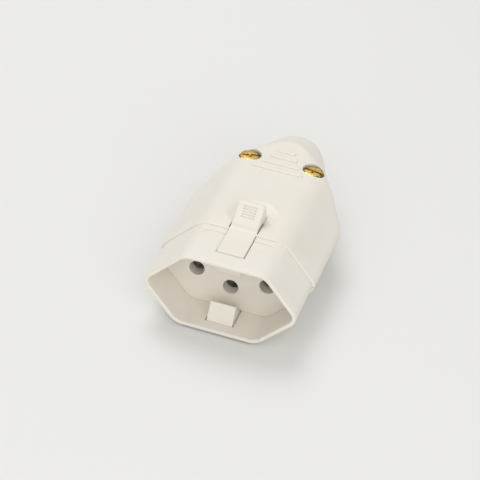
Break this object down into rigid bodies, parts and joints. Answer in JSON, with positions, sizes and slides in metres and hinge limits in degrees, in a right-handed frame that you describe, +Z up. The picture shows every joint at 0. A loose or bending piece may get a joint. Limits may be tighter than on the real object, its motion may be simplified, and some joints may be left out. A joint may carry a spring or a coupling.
{
  "type": "inline socket connector",
  "caption": "Inline power socket for a cord: hexagonal recessed mouth with round pin holes, sprung latches and a tapered two-piece cover.",
  "frame": {"origin": "on the surface it lies on, under the middle of the part's box", "axes": "+Y from the mouth to the cord entry, +X to the right seen from the mouth's side, +Z up, latch with the raised thumb piece on top"},
  "size_m": [0.0416, 0.077, 0.0269],
  "materials": {
    "housing": "satin moulded warm white plastic",
    "cover": "satin moulded warm white plastic",
    "inner_plastic": "plain moulded plastic",
    "contact_metal": "nickel plated brass",
    "spring_steel": "rolled spring steel",
    "screw_steel": "zinc plated",
    "screw_gold": "yellow passivated, bright on the raised edges"
  },
  "bodies": {
    "root": {"front_body": "housing", "cover_top": "cover", "cover_bottom": "cover", "contact_retainer": "inner_plastic", "clamp_bar": "inner_plastic", "contact_left": "contact_metal", "contact_earth": "contact_metal", "contact_right": "contact_metal", "spring_ring_left": "spring_steel", "spring_ring_earth": "spring_steel", "spring_ring_right": "spring_steel", "terminal_screw_left": "screw_steel", "terminal_screw_earth": "screw_steel", "terminal_screw_right": "screw_steel", "cover_screw_left": "screw_gold", "cover_screw_right": "screw_gold", "cover_nut_left": "contact_metal", "cover_nut_right": "contact_metal", "clamp_screw_left": "screw_steel", "clamp_screw_right": "screw_steel"}
  },
  "joints": []
}
